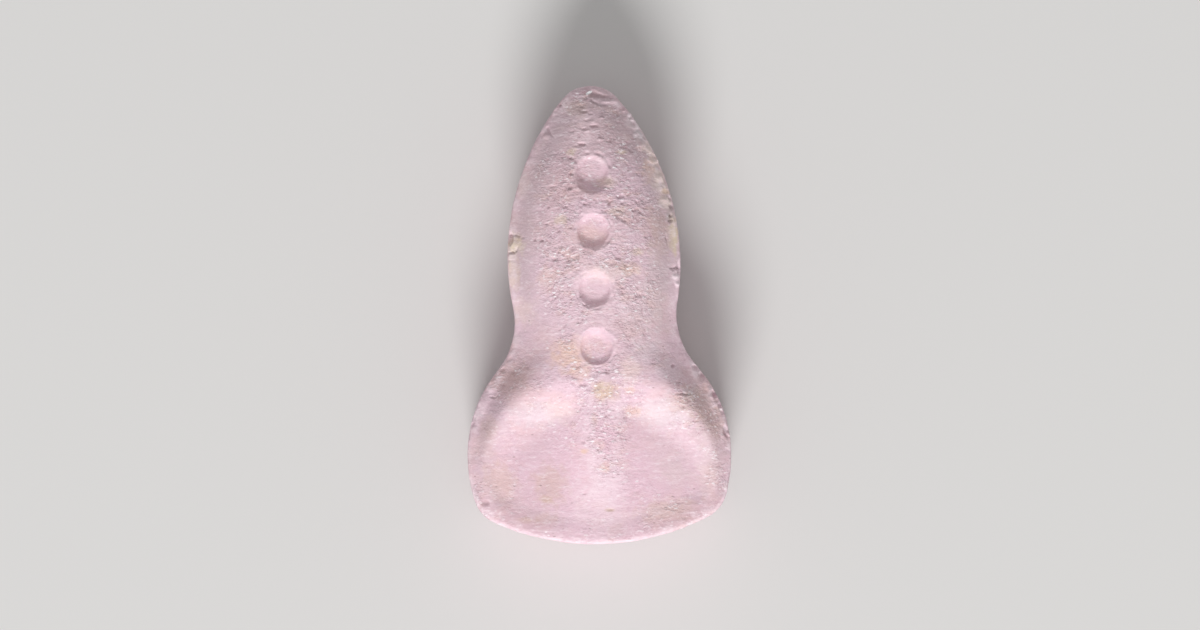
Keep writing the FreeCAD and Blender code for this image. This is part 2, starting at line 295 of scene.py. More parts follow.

# Stains of the face, and rows of painted shade or painted light where marked: x, y, half width, half
# height, colour, share
STAINS_AND_PAINTED_SHADING = (
    # The first row is painted shade that darkens the nose.
    (0, 5.8, 2.0, 1.6, DUSTY_PINK, 0.6), (-0.2, 5.55, 0.45, 0.6, BLUSH, 0.5),
    # Both rows are painted shade on the body's sides.
    (-2.1, 2.8, 0.7, 2.4, DUSTY_PINK, 0.35), (2.1, 2.4, 0.7, 2.4, DUSTY_PINK, 0.4),
    (1.35, 0.1, 0.6, 0.8, PALE, 0.25), (0, -5.1, 3.4, 1.7, BRIGHT_PINK, 0.5),
    # Both rows are painted light: down the keel, and a painted highlight on the left arc.
    (0.15, -4.6, 0.6, 2.4, PALE, 0.4), (-1.7, -2.95, 0.9, 0.4, FROST, 0.5),
    # The first row is a painted highlight on the right arc.
    (2.1, -3.0, 0.9, 0.5, FROST, 0.6), (2.2, -4.2, 0.8, 0.8, PUTTY, 0.25),
    # The first row is painted shade on the left arc's outer end.
    (-2.95, -3.3, 0.35, 0.35, DUSTY_PINK, 0.35), (2.87, -2.42, 0.25, 0.22, FROST, 0.5),
    # The second row is painted shade beside the left rim.
    (3.0, -1.6, 0.16, 0.35, PALE, 0.7), (-1.45, 4.1, 0.35, 1.0, DUSTY_PINK, 0.3),
    (0.22, -2.35, 0.34, 0.33, OLIVE, 0.9), (-0.9, -1.2, 0.5, 0.4, ORANGE, 0.75),
    (-0.5, -1.65, 0.35, 0.3, ORANGE, 0.5), (2.55, -2.78, 0.4, 0.32, BEIGE, 0.6),
    # The first row is painted shade on the right arc's outer end.
    (3.08, -3.43, 0.3, 0.55, DUSTY_PINK, 0.5), (-3.4, -3.8, 0.3, 0.6, BEIGE, 0.35),
    (-2.3, -1.65, 0.35, 0.3, BROWN, 0.45), (0.95, -2.34, 0.15, 0.12, ORANGE, 0.5),
    (1.06, -2.95, 0.25, 0.15, ORANGE, 0.6), (-0.1, -3.13, 0.12, 0.22, OLIVE, 0.5),
    (-0.46, -4.1, 0.11, 0.07, ORANGE, 0.9), (-2.65, -1.85, 0.5, 0.5, BROWN, 0.55),
    (-3.05, -5.0, 0.55, 0.55, SAND, 0.7), (-1.5, -5.1, 0.5, 0.6, BEIGE, 0.6),
    (-1.65, -5.55, 0.18, 0.1, OLIVE, 0.5), (2.1, -6.05, 0.9, 0.4, SAND, 0.8),
    (2.5, -6.22, 0.26, 0.06, OLIVE, 0.8), (-2.25, -6.15, 0.3, 0.09, OLIVE, 0.55),
    (0.44, -6.52, 0.3, 0.2, BROWN, 0.25), (0.16, -4.6, 0.16, 0.16, ORANGE, 0.7),
    (-1.42, 1.22, 0.3, 0.35, ORANGE, 0.4), (1.08, 1.33, 0.3, 0.2, ORANGE, 0.6),
    (-0.1, 2.43, 0.45, 0.25, ORANGE, 0.35), (2.05, 2.45, 0.34, 0.7, BROWN, 0.85),
    (2.38, 3.1, 0.14, 0.35, GREY, 0.6), (2.44, 2.35, 0.18, 0.55, CREAM, 0.85),
    # The second row is painted shade in a crack.
    (-2.42, 2.2, 0.3, 0.28, CREAM, 1.0), (-2.42, 2.46, 0.24, 0.07, CREVICE_SHADE, 0.6),
    (-2.47, 2.34, 0.2, 0.08, OLIVE, 0.6), (-2.5, 1.35, 0.24, 0.6, PEACH, 0.9),
    (-2.3, 1.4, 0.06, 0.6, OLIVE, 0.4), (-0.45, 6.3, 0.35, 0.25, OLIVE, 0.4),
    (1.34, 6.02, 0.24, 0.14, PALE, 0.9), (1.3, 5.8, 0.2, 0.2, FROST, 0.6),
    (1.6, 5.4, 0.24, 0.3, FROST, 0.8), (1.74, 5.05, 0.22, 0.2, IVORY, 0.9),
    (1.88, 4.65, 0.25, 0.28, IVORY, 0.9), (2.04, 4.15, 0.26, 0.25, IVORY, 0.9),
    (2.1, 3.84, 0.26, 0.2, IVORY, 0.9), (2.24, 3.7, 0.16, 0.1, OLIVE, 0.8),
    (2.22, 3.38, 0.24, 0.2, IVORY, 0.9), (2.32, 2.95, 0.14, 0.22, GREY, 0.6),
    (2.46, 1.1, 0.14, 0.08, PALE, 0.8), (2.54, 0.86, 0.1, 0.08, PALE, 0.7),
    (2.14, 2.3, 0.22, 0.3, WARM_PINK, 0.5), (1.7, 4.36, 0.18, 0.35, ORANGE, 0.8),
    (-0.95, 2.88, 0.2, 0.15, CREAM, 0.5), (-0.62, 4.95, 0.16, 0.1, CREAM, 0.5),
    (1.34, 1.87, 0.2, 0.12, CREAM, 0.5), (0.45, 4.0, 0.3, 0.15, CREAM, 0.35),
    (0.5, 1.3, 0.8, 0.3, CREAM, 0.25), (-2.52, 1.9, 0.15, 0.35, CREAM, 0.3),
    (0.28, -5.92, 0.16, 0.05, OLIVE, 0.6), (-3.3, -3.3, 0.3, 0.35, BEIGE, 0.4),
    (3.2, -2.9, 0.4, 0.7, BEIGE, 0.6), (1.1, -0.5, 0.35, 0.3, ORANGE, 0.15),
    (0.2, -3.3, 0.35, 1.1, BRIGHT_PINK, 0.8), (-0.5, -0.9, 0.8, 0.3, ORANGE, 0.3),
    (-2.2, 0.15, 0.35, 0.4, PEACH, 0.5), (0.4, -2.95, 0.5, 0.35, PALE, 0.3),
    (1.0, -1.7, 0.3, 0.4, PEACH, 0.5), (-2.1, 4.0, 0.22, 0.4, IVORY, 0.35),
    (3.35, -5.0, 0.35, 0.9, PEACH, 0.4), (-3.4, -5.4, 0.25, 0.4, BLUSH, 0.4),
    # The first row is painted light between the dimples.
    (0, 0.9, 1.5, 1.7, BLUSH, 0.25), (-2.5, -1.6, 0.8, 0.8, WARM_PINK, 0.5),
    (-1.1, -2.8, 0.5, 0.4, ORANGE, 0.25), (-1.7, -6.15, 0.5, 0.2, BEIGE, 0.5),
    (-1.95, -3.85, 0.7, 0.55, DUSTY_PINK, 0.25), (3.15, -4.2, 0.3, 0.7, PALE, 0.25),
    (-0.6, -5.6, 0.35, 0.6, PALE, 0.25), (-2.6, -2.7, 0.45, 0.3, DUSTY_PINK, 0.3),
    (1.55, -1.1, 0.5, 0.35, PALE, 0.4), (2.2, -1.75, 0.4, 0.35, PALE, 0.35),
    (2.3, -4.9, 0.45, 0.4, PUTTY, 0.35), (0.2, -2.3, 0.28, 0.25, CREAM, 0.5),
    (3.6, -3.4, 0.25, 0.5, BEIGE, 0.5), (1.9, 0.9, 0.35, 1.4, PUTTY, 0.35),
    (0.95, 4.9, 0.14, 0.06, CREAM, 0.6), (0.75, 3.1, 0.3, 0.15, CREAM, 0.35))

# Stains, and the painted shade and light among them, are ragged, fade over a span of reaches, are left out
# past a squared reach, and end a little below the land.
STAIN_RAGGEDNESS = 0.5
STAIN_RAGGED_PER_MM = 5
STAIN_SQUARED_END = 3
STAIN_FADE_SPAN = (0.35, 1.5)
STAIN_BELOW_LAND = 0.35
RIM_RAGGED_SHARE = 0.1

# Trough beside the rim: painted shade along the body, and half as much round one place of the tail
TROUGH_PLACE = 0.62
TROUGH_WIDTH = 0.4
TROUGH_SHARE = 0.5
BODY_TROUGH_SPAN = (-0.6, 1.2)
TAIL_TROUGH_PLACE = -4
TAIL_TROUGH_SHARE = 0.5

# Lip of the tail's end: painted shade, more of it at its two corners than at the clear place near its
# middle, and a line of painted light farther in. The painted shade's spans and the painted light line's
# place are distances from the rim.
LIP_SPAN = (-5.6, -4.8)
LIP_SHADE_SHARE = 0.42
LIP_SHADE_START_SPAN = (0.05, 0.15)
LIP_SHADE_END_SPAN = (0.35, 0.65)
LIP_CORNER_SPAN = (0.8, 2.5)
LEFT_CORNER_TIMES = 1.5
RIGHT_CORNER_TIMES = 1.8
CLEAR_LIP_X = -0.5
CLEAR_LIP_WIDTH = 0.7
CLEAR_LIP_SHARE = 0.8
LIP_LIGHT_PLACE = 0.8
LIP_LIGHT_WIDTH = 0.16
LIP_LIGHT_SHARE = 0.15

# Painted highlight on the edge of the tail, which is ragged, and weaker on its sides than at its end
EDGE_HIGHLIGHT_SHARE = 0.75
EDGE_HIGHLIGHT_SPAN = (0.06, 0.18)
EDGE_SIDE_SPAN = (-5.5, -4.5)
EDGE_SIDE_SHARE = 0.5
EDGE_STOP_SPAN = (-3, -1.5)
EDGE_RAGGED_SHARE = 0.2
EDGE_RAGGED_SPAN = (-0.25, 0.25)

# The flake at the nose, with its glint painted white as a highlight: its middle, half sizes, turn and edge
GLINT_PLACE = (-0.02, 6.74, 4)
GLINT_HALF_SIZES = (0.11, 0.045, 5)
GLINT_TURN_DEG = 28
GLINT_EDGE_SPAN = (1.1, 0.8)

# Patterns of the powder: repeats to a millimetre along x, y and z, octaves of detail, and how harsh the
# detail is
MOTTLE_PER_MM = (0.55, 0.8, 0.6)
SHADE_PER_MM = (1.6, 3.2, 2)
STREAK_PER_MM = (1.6, 7, 1.6)
TINT_PER_MM = (2.2, 3.4, 2.2)
GRAIN_PER_MM = (8, 13, 9)
DASH_PER_MM = (3.5, 9, 4.5)
FLECK_PER_MM = (4.2, 9.5, 6)
PLAIN_DETAIL = 3
FINE_DETAIL = 4
SHADE_HARSHNESS = 0.6
FINE_HARSHNESS = 0.7

# Pattern values over which each colour sets in, and the share that it covers there
MOTTLE_SPAN = (0.42, 0.66)
SHADE_SPAN = (0.5, 0.72)
SHADE_SHARE = 0.6
PALE_STREAK_SPAN = (0.5, 0.75)
PALE_STREAK_SHARE = 0.5
DUSTY_STREAK_SPAN = (0.5, 0.25)
DUSTY_STREAK_SHARE = 0.45
TINT_SPAN = (0.52, 0.66)
TINT_SHARE = 0.25
# Low grains get painted shade and high grains painted light, and sunken places painted shade
LOW_GRAIN_SPAN = (0.46, 0.3)
LOW_GRAIN_SHADE_SHARE = 0.8
HIGH_GRAIN_SPAN = (0.54, 0.68)
HIGH_GRAIN_LIGHT_SHARE = 0.9
HOLLOW_SHADE_SHARE = 0.25
BROKEN_SHARE = 0.45

# Dark dashes, which are painted shade of fine cracks, and pale flecks, which are pale grains with painted
# sparkle: their reaches, and the cells' own numbers from which cells have one, first where the face is
# picked and then anywhere
DASH_SPAN = (0.24, 0.08)
DASH_SHARE = 0.75
PICKED_DASH_SPAN = (0.6, 0.65)
PLAIN_DASH_SPAN = (0.84, 0.87)
FLECK_SPAN = (0.06, -0.1)
FLECK_SHARE = 0.95
FLECK_GRAIN_SHARE = -0.5
PICKED_FLECK_SPAN = (0.55, 0.65)
PLAIN_FLECK_SPAN = (0.74, 0.86)
PLAIN_FLECK_SHARE = 0.75

# Degrees of picking over which the grain's colours and the plain flecks rise from a least share to all
# of their strength
PICKED_SPAN = (0, 0.8)
PICKED_LEAST_SHARE = 0.2
PLAIN_SPAN = (0.05, 0.3)
PLAIN_LEAST_SHARE = 0.2

# Surface of the powder: dull, a little less so on its high grains, with the grain as bump
ROUGHNESS_SPAN = (0.3, 0.7)
LOW_ROUGHNESS = 0.95
HIGH_ROUGHNESS = 0.7
SPECULAR_LEVEL = 0.35
BUMP_DEPTH = 0.075


def ramp(value, start, end):
    """Smooth rise from 0 at the start to 1 at the end."""
    share = min(max((value - start) / (end - start), 0), 1)
    return share * share * (3 - 2 * share)


def between(low, high, share):
    """Value that lies a share of the way from the low one to the high one."""
    return low + (high - low) * share


def positive(value):
    """A noise value from -1 to 1, brought to between 0 and 1."""
    return 0.5 + 0.5 * value


def rough_noise(place, fade=NOISE_FADE, gap=NOISE_GAP):
    """Noise of several octaves at a place."""
    return noise.fractal(place, fade, gap, OCTAVES)


def squared_reach(x, y, oval):
    """How far a point lies from an oval's middle, as a share of its half sizes, squared."""
    middle_x, middle_y, half_width, half_height = oval
    return ((x - middle_x) / half_width) ** 2 + ((y - middle_y) / half_height) ** 2


def hump(x, y, oval):
    """Smooth hump that is 1 in an oval's middle and fades all round it."""
    return math.exp(-squared_reach(x, y, oval))


def photo_camera(land_height):
    """The camera looks straight down at the face, at the photograph's scale and lean."""
    data = bpy.data.cameras.new("photo_camera")
    data.lens = LENS_MM
    data.sensor_width = SENSOR_MM
    data.clip_start = CLIP_START_M
    camera = bpy.data.objects.new("photo_camera", data)
    bpy.context.collection.objects.link(camera)
    mm_per_px = LENGTH / OBJECT_LENGTH_PX
    distance = PHOTO_WIDTH_PX * mm_per_px * LENS_MM / SENSOR_MM
    aside = OBJECT_LEFT_OF_CENTRE_PX * mm_per_px
    camera.location = Vector((aside, 0, land_height + distance)) * MM
    camera.rotation_euler = (0, 0, -math.radians(LEAN_LEFT_DEG))
    bpy.context.scene.camera = camera


def mesh_in_mm(node):
    """A copy of a node's mesh in millimetres, with its shared points merged."""
    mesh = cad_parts[node].data.copy()
    mesh.materials.clear()
    work = bmesh.new()
    work.from_mesh(mesh)
    bmesh.ops.scale(work, vec=(1 / MM, 1 / MM, 1 / MM), verts=work.verts)
    bmesh.ops.remove_doubles(work, verts=work.verts, dist=MERGE_REACH)
    work.to_mesh(mesh)
    work.free()
    return mesh


def modified(mesh, kind, **settings):
    """The mesh that one modifier makes of another mesh."""
    holder = bpy.data.objects.new("holder", mesh)
    bpy.context.collection.objects.link(holder)
    modifier = holder.modifiers.new(kind.lower(), kind)
    for name, value in settings.items():
        setattr(modifier, name, value)
    graph = bpy.context.evaluated_depsgraph_get()
    result = bpy.data.meshes.new_from_object(holder.evaluated_get(graph))
    bpy.data.objects.remove(holder)
    return result


class Rim:
    """Outer edge of the land, as closely spaced points that know which way the band faces there."""

    def __init__(self, mesh):
        work = bmesh.new()
        work.from_mesh(mesh)
        self.points = []
        self.outward = []
        for edge in work.edges:
            if len(edge.link_faces) == 2:
                self.add(edge)
        work.free()
        self.land_height = self.points[0].z
        self.tree = KDTree(len(self.points))
        for number, point in enumerate(self.points):
            self.tree.insert(point, number)
        self.tree.balance()

    def add(self, edge):
        """Take up an edge where a level face meets an upright one."""
        level = [face for face in edge.link_faces if face.normal.z > LEVEL_NORMAL]
        upright = [face for face in edge.link_faces if abs(face.normal.z) < UPRIGHT_NORMAL]
        if level and upright:
            start, end = (vert.co for vert in edge.verts)
            steps = max(int((end - start).length / RIM_SPACING), 1)
            self.points += [start.lerp(end, step / steps) for step in range(steps)]
            self.outward += [upright[0].normal.copy()] * steps

    def nearest(self, place):
        """Distance to the rim, and the way the band faces at its nearest point."""
        number, distance = self.tree.find(place)[1:]
        return distance, self.outward[number]


def dense_shell(cad, rim):
    """An even mesh on the tablet's surface with its rim worn and chipped, finer on its face."""
    shell = modified(cad, "REMESH", mode="VOXEL", voxel_size=CELL)
    shell = modified(shell, "SMOOTH", factor=SMOOTHING_FACTOR, iterations=SOFTENING_PASSES)
    work = bmesh.new()
    work.from_mesh(shell)
    fine_above = rim.land_height - FINE_BELOW_LAND
    fine = [edge for edge in work.edges if min(vert.co.z for vert in edge.verts) > fine_above]
    bmesh.ops.subdivide_edges(work, edges=fine, cuts=FACE_CUTS, use_grid_fill=True)
    bmesh.ops.triangulate(work, faces=work.faces)
    exact = bmesh.new()
    exact.from_mesh(cad)
    surface = BVHTree.FromBMesh(exact)
    exact.free()
    broken = work.verts.layers.float.new("broken")
    for vert in work.verts:
        place = surface.find_nearest(vert.co)[0]
        crisp = ramp(rim.nearest(place)[0], *CRISP_SPAN)
        vert.co, vert[broken] = chipped_place(vert.co.lerp(place, crisp), rim)
    work.to_mesh(shell)
    work.free()
    return modified(shell, "SMOOTH", factor=SMOOTHING_FACTOR, iterations=SMOOTHING_PASSES)


def from_dimple(place):
    """Distance from the middle of the nearest dimple."""
    return min(math.hypot(place.x, place.y - dimple) for dimple in DIMPLE_PLACES)


def middle_grain(x, y):
    """How coarsely the middle of the face is picked, down the body and the keel."""
    keel = between(KEEL_END_HALF_WIDTH, KEEL_TOP_HALF_WIDTH, ramp(y, *KEEL_WIDENING_SPAN))
    half_width = between(keel, BODY_HALF_WIDTH, ramp(y, *BODY_WIDENING_SPAN))
    half_width *= 1 - NOSE_NARROWING_SHARE * ramp(y, *NOSE_NARROWING_SPAN)
    full, end = (share * half_width for share in SIDEWAYS_FADE_SHARES)
    middle = 1 - ramp(abs(x - GRAIN_MIDDLE_X), full, end)
    waist = 1 - WAIST_CALM_SHARE * math.exp(-y * y)
    nose = 1 - NOSE_CALM_SHARE * ramp(y, *NOSE_CALM_SPAN)
    middle *= ramp(y, *KEEL_START_SPAN) * waist * nose
    middle *= 1 - BODY_CALM_SHARE * hump(x, y, BODY_CALM_OVAL)
    return middle * between(TAIL_MIDDLE_SHARE, 1, ramp(y, *TAIL_SPAN))


def plain_grain(x, y):
    """How coarsely the rest of the face is picked: more on the tail, but not on its smooth places."""
    smooth = max(hump(abs(x), y, PANEL_OVAL), TAIL_END_SMOOTH_SHARE * hump(x, y, TAIL_END_OVAL))
    tail = (1 - ramp(y, *TAIL_GRAIN_SPAN)) * (1 - smooth)
    plain = between(PLAIN_GRAIN_SHARE, TAIL_GRAIN_SHARE, tail)
    return plain * (1 - LEFT_TAIL_SMOOTH_SHARE * hump(x, y, LEFT_TAIL_OVAL))


def grain_share(place):
    """How coarsely the face is picked: most round the dimples, down the keel and on one shoulder."""
    x, y = place.x, place.y
    shoulder = SHOULDER_SHARE * hump(x, y, SHOULDER_OVAL)
    patch = ramp(rough_noise(place / PATCH_LENGTH, fade=PATCH_FADE), *PATCH_SPAN)
    patch = PATCH_BASE_SHARE + PATCH_RISE_SHARE * patch
    picked = between(plain_grain(x, y), 1, max(middle_grain(x, y), shoulder)) * patch
    share = max(picked, LEFT_SHARE * hump(x, y, LEFT_OVAL))
    outside = ramp(from_dimple(place), DIMPLE_RADIUS, DIMPLE_RADIUS + DIMPLE_WEAR_REACH)
    return share * between(DIMPLE_GRAIN_SHARE, 1, outside)


def cell_at(place, width, height):
    """The cell at a place: how far in from its border the place lies, and a number of the cell's own."""
    distances, middles = noise.voronoi(Vector((place.x / width, place.y / height, place.z / width)))
    return distances[1] - distances[0], abs(noise.cell(middles[0] * CELL_NUMBER_STEP))


def picked_share(place):
    """How deep the surface lies at a place, as shares of a crumb's depth and of a lost flake's."""
    bent = place + CELL_BEND * noise.noise_vector(place * BENDS_PER_MM)
    crumb_edge, crumb_level = cell_at(bent, CRUMB_WIDTH, CRUMB_HEIGHT)
    flake_edge, flake_level = cell_at(bent, FLAKE_WIDTH, FLAKE_HEIGHT)
    border = CRUMB_EDGE_SHARE * (1 - ramp(crumb_edge, *CRUMB_EDGE_SPAN))
    crumb = min(border + (1 - CRUMB_EDGE_SHARE) * crumb_level, 1)
    return crumb, ramp(flake_edge, *FLAKE_EDGE_SPAN) * ramp(flake_level, *LOST_FLAKE_SPAN)


def pit_depth(x, y):
    """Depth of the deepest pit at a point."""
    depth = 0
    for *oval, deepest in PITS:
        reach = squared_reach(x, y, oval)
        if reach < 1:
            depth = max(depth, deepest * (1 - reach))
    return depth


def lump_rise(x, y):
    """Rise of the highest lump at a point."""
    rise = 0
    for *oval, highest in LUMPS:
        reach = squared_reach(x, y, oval)
        if reach < 1:
            rise = max(rise, highest * (1 - reach) * (1 - reach))
    return rise


def groove_depth(x, y):
    """Depth of the grooves, each of which thins out towards its last point."""
    depth = 0
    for half_width, deepest, points in GROOVES:
        for number, ((start_x, start_y), (end_x, end_y)) in enumerate(zip(points, points[1:])):
            run_x = end_x - start_x
            run_y = end_y - start_y
            along = ((x - start_x) * run_x + (y - start_y) * run_y) / (run_x ** 2 + run_y ** 2)
            along = min(max(along, 0), 1)
            aside = math.hypot(x - start_x - along * run_x, y - start_y - along * run_y)
            thinned = 1 - GROOVE_THINNING_SHARE * (number + along) / (len(points) - 1)
            if aside < half_width * thinned:
                depth = max(depth, deepest * thinned * (1 - (aside / half_width / thinned) ** 2))
    return depth


def chip_share(place):
    """How much the rim is broken round a place."""
    share = PLAIN_CHIP_SHARE
    for chip_x, chip_y, reach, amount in CHIPPED_SHARES:
        near = math.exp(-((place.x - chip_x) ** 2 + (place.y - chip_y) ** 2) / reach ** 2)
        share += amount * near
    return share


def stained(colour, cover, tint, share):
    """A colour and the share that it covers, with more of a tint laid over it."""
    total = cover + share - cover * share
    if total > 0:
        colour = [between(old, new, share / total) for old, new in zip(colour, tint)]
    return colour, total


def rim_painted_shading(x, y, distance, ragged):
    """Colours and shares of the painted shade and light along the rim: painted shade in the trough and on
    the lip, a painted light line on the lip, and a painted highlight on the edge.
    """
    # Painted shade in the trough beside the rim
    trough = TROUGH_SHARE * math.exp(-((distance - TROUGH_PLACE) / TROUGH_WIDTH) ** 2)
    tail_trough = TAIL_TROUGH_SHARE * math.exp(-(y - TAIL_TROUGH_PLACE) ** 2)
    trough *= max(ramp(y, *BODY_TROUGH_SPAN), tail_trough)
    # Painted shade on the lip
    lip = 1 - ramp(y, *LIP_SPAN)
    start = ramp(distance, *LIP_SHADE_START_SPAN)
    lip_shade = lip * LIP_SHADE_SHARE * start * (1 - ramp(distance, *LIP_SHADE_END_SPAN))
    corner_times = LEFT_CORNER_TIMES if x < 0 else RIGHT_CORNER_TIMES
    lip_shade *= between(1, corner_times, ramp(abs(x), *LIP_CORNER_SPAN))
    lip_shade *= 1 - CLEAR_LIP_SHARE * math.exp(-((x - CLEAR_LIP_X) / CLEAR_LIP_WIDTH) ** 2)
    # A line of painted light on the lip
    pale = lip * LIP_LIGHT_SHARE * math.exp(-((distance - LIP_LIGHT_PLACE) / LIP_LIGHT_WIDTH) ** 2)
    # Painted highlight on the edge
    side = 1 - EDGE_SIDE_SHARE * ramp(y, *EDGE_SIDE_SPAN)
    edge = EDGE_HIGHLIGHT_SHARE * (1 - ramp(distance, *EDGE_HIGHLIGHT_SPAN)) * side
    edge *= (1 - ramp(y, *EDGE_STOP_SPAN)) * between(EDGE_RAGGED_SHARE, 1, ramp(ragged, *EDGE_RAGGED_SPAN))
    return (TROUGH_SHADE, trough), (LIP_SHADE_COLOUR, lip_shade), (PALE, pale), (PALE, edge)


def stain_and_painted_shading_at(place, rim):
    """Colour of the marks at a place: the table's spots and the painted shade and light along the rim, with
    the share that they cover.
    """
    colour = PINK
    cover = 0
    ragged = STAIN_RAGGEDNESS * rough_noise(place * STAIN_RAGGED_PER_MM)
    for *oval, tint, strength in STAINS_AND_PAINTED_SHADING:
        reach = squared_reach(place.x, place.y, oval)
        if reach < STAIN_SQUARED_END:
            share = strength * (1 - ramp(math.sqrt(reach) + ragged, *STAIN_FADE_SPAN))
            colour, cover = stained(colour, cover, tint, share)
    distance = rim.nearest(place)[0] + RIM_RAGGED_SHARE * ragged
    for tint, share in rim_painted_shading(place.x, place.y, distance, ragged):
        colour, cover = stained(colour, cover, tint, share)
    return (*colour, cover * ramp(place.z, rim.land_height - STAIN_BELOW_LAND, rim.land_height))


def chipped_place(place, rim):
    """A surface point with the rim's wear and chips taken off, and how pale its break is."""
    distance, outward = rim.nearest(place)
    if distance > 2 * CHIP_REACH:
        return place, 0
    share = chip_share(place)
    along = Vector((place.x, place.y, 0)) / CHIP_LENGTH
    chip = ramp(rough_noise(along, gap=CHIP_GAP), *CHIP_SPAN)
    uneven = CHIP_BASE_SHARE + CHIP_UNEVEN_SHARE * noise.noise(place * CHIP_UNEVEN_PER_MM)
    reach = (RIM_WEAR + CHIP_REACH * share * chip) * uneven
    inward = max(reach - distance, 0) / 2
    lump = ramp(rough_noise(place / RIM_LUMP_LENGTH), *RIM_LUMP_SPAN)
    sunk = RIM_LUMP_DEPTH * share * lump * (1 - ramp(distance, 0, RIM_LUMP_REACH))
    ragged = ramp(rough_noise(place * MARGIN_PER_MM), *MARGIN_SPAN)
    margin = ragged * (1 - ramp(distance, MARGIN_START_SHARE * MARGIN_WIDTH, MARGIN_WIDTH))
    pale = max(ramp(inward, *BREAK_PALE_SPAN), margin * (1 - lump))
    return place - outward * inward - Vector((0, 0, inward + sunk)), pale


def weathered_place(place, normal):
    """A surface point moved in by wear, how sunken it is, which sets its painted shade, and how picked it
    is.
    """
    upward = ramp(normal.z, *UPWARD_SPAN)
    wave = noise.noise(place / WAVE_LENGTH)
    lump = noise.noise(place / LUMP_LENGTH)
    depth = WAVE_DEPTH * positive(wave) + LUMP_DEPTH * positive(lump)
    share = between(BAND_GRAIN_SHARE, grain_share(place), upward)
    crumb, flake = picked_share(place)
    off_tail = ramp(place.y, *TAIL_SPAN)
    lost = flake * between(TAIL_FLAKE_SHARE, 1, off_tail)
    crumb_depth = between(TAIL_CRUMB_SHARE, 1, off_tail) * CRUMB_DEPTH * crumb
    depth += share * (PATCH_DEPTH + crumb_depth + FLAKE_DEPTH * lost)
    # How sunken the point is, which sets the painted shade there
    hollow_shade = share * lost
    if upward > 0:
        streak = noise.noise(Vector((place.x / STREAK_WIDTH, place.y / STREAK_HEIGHT, 0)))
        ragged_x = place.x + RAGGED_REACH * noise.noise(place * RAGGED_PER_MM)
        ragged_y = place.y + RAGGED_REACH * noise.noise(place * RAGGED_PER_MM + RAGGED_Y_SHIFT)
        cut = max(pit_depth(ragged_x, ragged_y), groove_depth(ragged_x, ragged_y))
        beside = ramp(abs(from_dimple(place) - DIMPLE_RADIUS), DIMPLE_WEAR_REACH, 0)
        depth += DIMPLE_WEAR * beside * ramp(rough_noise(place * DIMPLE_WEAR_PER_MM), *DIMPLE_WEAR_SPAN)
        depth += upward * (STREAK_DEPTH * streak + cut - lump_rise(ragged_x, ragged_y))
        hollow_shade = max(hollow_shade, upward * min(cut / FULL_HOLLOW_DEPTH, 1))
    if abs(normal.z) < BAND_NORMAL:
        drag = noise.noise(Vector((place.x / DRAG_WIDTH, place.y / DRAG_WIDTH, place.z / DRAG_HEIGHT)))
        depth += DRAG_DEPTH * positive(drag) * (1 - upward)
    worn = ramp(rough_noise(place / BACK_WEAR_LENGTH), *BACK_WEAR_SPAN)
    low = 1 - ramp(place.z, 0, BACK_WEAR_HEIGHT)
    depth += BACK_WEAR_DEPTH * worn * low * ramp(normal.z, *BACK_NORMAL_SPAN)
    return place - normal * depth, hollow_shade, share


def finished_mesh(cad, rim):
    """The tablet's surface with its grain, pits and chipped rim."""
    mesh = dense_shell(cad, rim)
    hollow_shades = mesh.attributes.new("hollow_shade", "FLOAT", "POINT").data
    picks = mesh.attributes.new("picked", "FLOAT", "POINT").data
    stain_and_shading_colours = mesh.attributes.new("stain_and_painted_shading", "FLOAT_COLOR", "POINT").data
    normals = [vert.normal.copy() for vert in mesh.vertices]
    for vert, normal in zip(mesh.vertices, normals):
        number = vert.index
        near_face = vert.co.z > rim.land_height - STAIN_BELOW_LAND
        # Stains together with painted shade and painted light
        stain_and_shading_colours[number].color = stain_and_painted_shading_at(vert.co, rim) if near_face else (*PINK, 0)
        vert.co, hollow_shades[number].value, picks[number].value = weathered_place(vert.co.copy(), normal)
    for polygon in mesh.polygons:
        polygon.use_smooth = True
    mesh.update()
    mesh.transform(Matrix.Scale(MM, 4))
    return mesh


